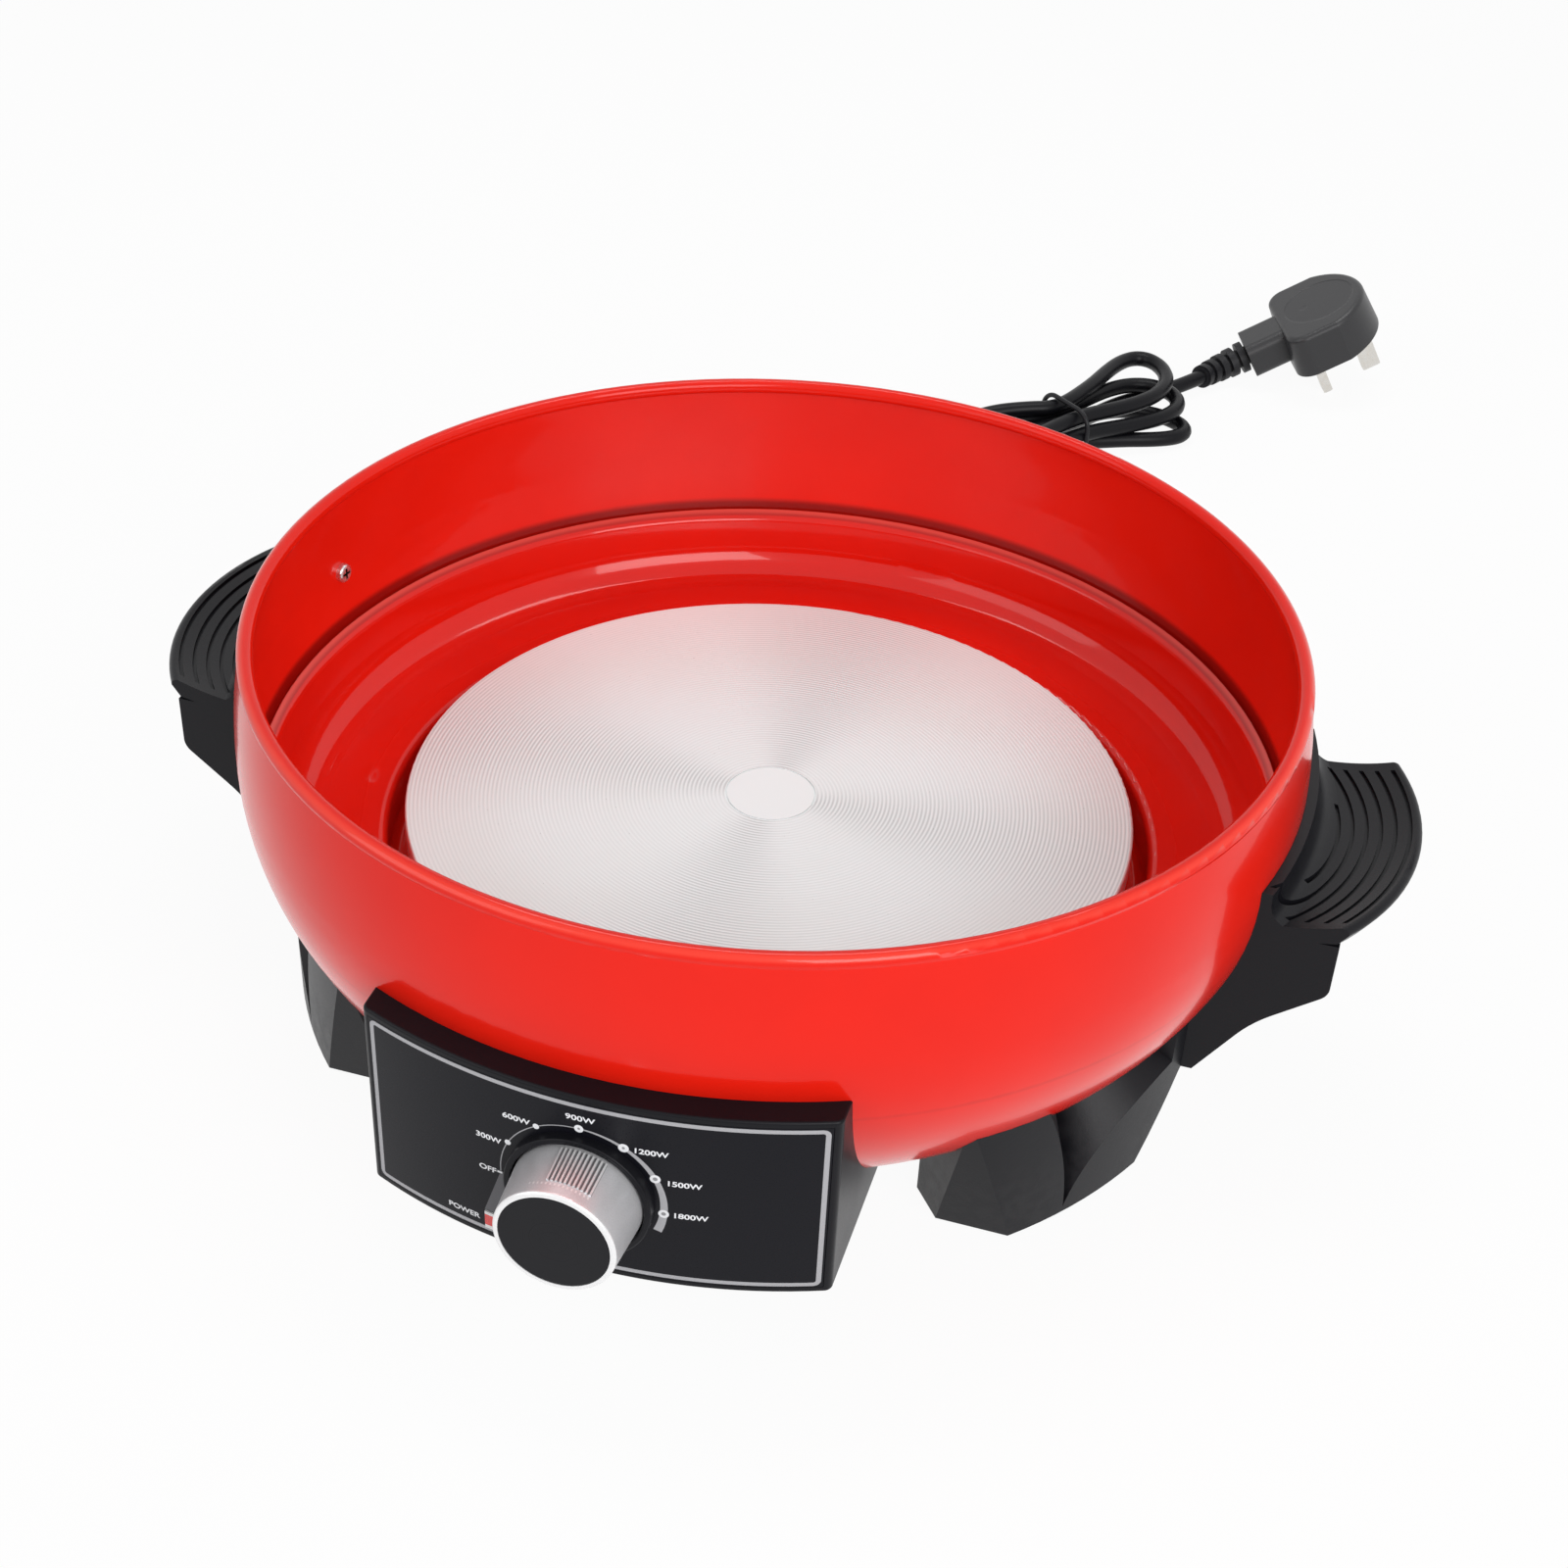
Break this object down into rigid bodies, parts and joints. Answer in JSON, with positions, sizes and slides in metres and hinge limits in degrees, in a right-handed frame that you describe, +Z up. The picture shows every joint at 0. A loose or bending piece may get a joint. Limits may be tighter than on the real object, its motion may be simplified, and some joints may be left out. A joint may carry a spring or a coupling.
{
  "type": "electric hot pot base",
  "caption": "Round countertop cooker base: heating plate in a deep dish, ribbed side grips with feet, front control housing with a rotary knob, and a mains cord tied in a hank with a plug.",
  "frame": {"origin": "on the table plane under the centre of the heating plate", "axes": "+Z up along the axis of the heating plate, -Y towards the control panel, +X to the right of a person facing the panel"},
  "size_m": [0.371, 0.6644, 0.1174],
  "materials": {
    "red_enamel": "gloss",
    "brushed_plate": "brushed in rings",
    "element_steel": "dull sheath",
    "bright_steel": "bright zinc",
    "bead_ceramic": "unglazed ceramic",
    "base_sheet": "satin black",
    "black_moulding": "fine texture",
    "panel_black": "satin",
    "red_lens": "clear red",
    "lamp_glass": "clear",
    "white_moulding": "plain",
    "brown_moulding": "phenolic",
    "knob_silver": "satin silver paint",
    "black_rubber": "matt",
    "black_cord": "satin PVC",
    "plug_black": "satin",
    "pin_brass": "nickel plated",
    "lead_brown": "PVC",
    "lead_blue": "PVC",
    "lead_green": "PVC"
  },
  "bodies": {
    "base_unit": {"base_cover": "base_sheet", "base_screws": "bright_steel", "control_fascia": "panel_black", "control_housing": "black_moulding", "cord_gland": "black_rubber", "cord_hank": "black_cord", "cord_tie": "black_cord", "cutout_strap": "bright_steel", "earth_tag": "bright_steel", "earth_tail": "lead_green", "element_beads": "bead_ceramic", "element_lead": "lead_brown", "element_pins": "bright_steel", "foot_pads": "black_rubber", "fuse_carrier": "panel_black", "handle_screws": "bright_steel", "heat_shield": "bright_steel", "heating_element": "element_steel", "heating_plate": "brushed_plate", "housing_screws": "bright_steel", "indicator_lamp": "lamp_glass", "indicator_lens": "red_lens", "inner_dish": "red_enamel", "knob_bezel": "panel_black", "lamp_holder": "white_moulding", "lamp_lead": "lead_blue", "left_handle": "black_moulding", "live_lead": "lead_brown", "live_tail": "lead_brown", "neutral_lead": "lead_blue", "neutral_tail": "lead_blue", "outer_shell": "red_enamel", "panel_nut": "bright_steel", "plate_nuts": "bright_steel", "plate_spacers": "bright_steel", "plate_studs": "bright_steel", "plug_body": "plug_black", "plug_cord": "black_cord", "plug_earth_pin": "pin_brass", "plug_line_pins": "pin_brass", "plug_sleeve": "black_rubber", "regulator_body": "brown_moulding", "right_handle": "black_moulding", "shield_spacers": "bright_steel", "supply_cord": "black_cord", "terminal_block": "white_moulding", "thermal_cutout": "bead_ceramic"},
    "knob": {"knob_body": "knob_silver", "knob_cap": "panel_black", "regulator_shaft": "bright_steel", "knob_spring": "bright_steel"}
  },
  "joints": [
    {"name": "knob_turn", "type": "hinge", "parent": "base_unit", "child": "knob", "pos_m": [0, -0.16, 0.042], "axis": [0, 1, 0], "range_deg": [-104, 86]}
  ]
}
